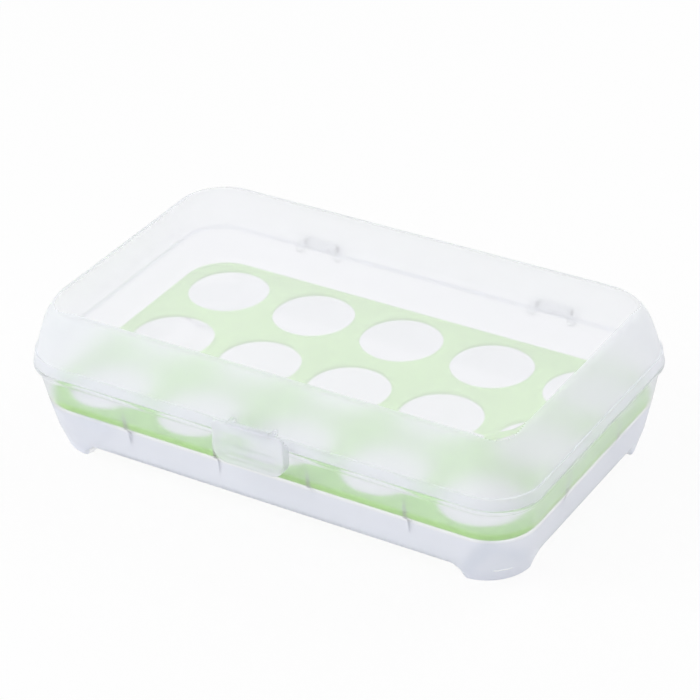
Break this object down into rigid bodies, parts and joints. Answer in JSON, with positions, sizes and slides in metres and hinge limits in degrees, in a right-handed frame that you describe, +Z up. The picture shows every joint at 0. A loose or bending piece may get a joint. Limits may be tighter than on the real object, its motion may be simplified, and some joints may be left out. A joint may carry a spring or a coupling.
{
  "type": "egg storage box",
  "caption": "Translucent egg keeper with a footed base, a hinged lid, a lift-out green tray with round holes and a front clip.",
  "frame": {"origin": "on the table under the middle of the box, with the front clip and the rear hinges counted", "axes": "+X along the length, +Y from the front clip towards the hinges, +Z up"},
  "size_m": [0.245, 0.1606, 0.0695],
  "materials": {
    "base_plastic": "frosted translucent polypropylene, satin",
    "lid_plastic": "clear top panel, lightly frosted walls, polypropylene",
    "tray_plastic": "light green polypropylene, satin",
    "clip_plastic": "translucent polypropylene, smooth"
  },
  "bodies": {
    "base": {"base_tub": "base_plastic"},
    "lid": {"lid_cover": "lid_plastic"},
    "tray": {"egg_tray": "tray_plastic"},
    "clip": {"front_clip": "clip_plastic"}
  },
  "joints": [
    {"name": "lid_hinge", "type": "hinge", "parent": "base", "child": "lid", "pos_m": [0, 0.0776, 0.04165], "axis": [-1, 0, 0], "range_deg": [0, 180]},
    {"name": "tray_lift", "type": "slide", "parent": "base", "child": "tray", "axis": [0, 0, 1], "range_m": [0, 0.015]},
    {"name": "clip_hinge", "type": "hinge", "parent": "lid", "child": "clip", "pos_m": [0, -0.0776, 0.0481], "axis": [-1, 0, 0], "range_deg": [0, 90]}
  ]
}
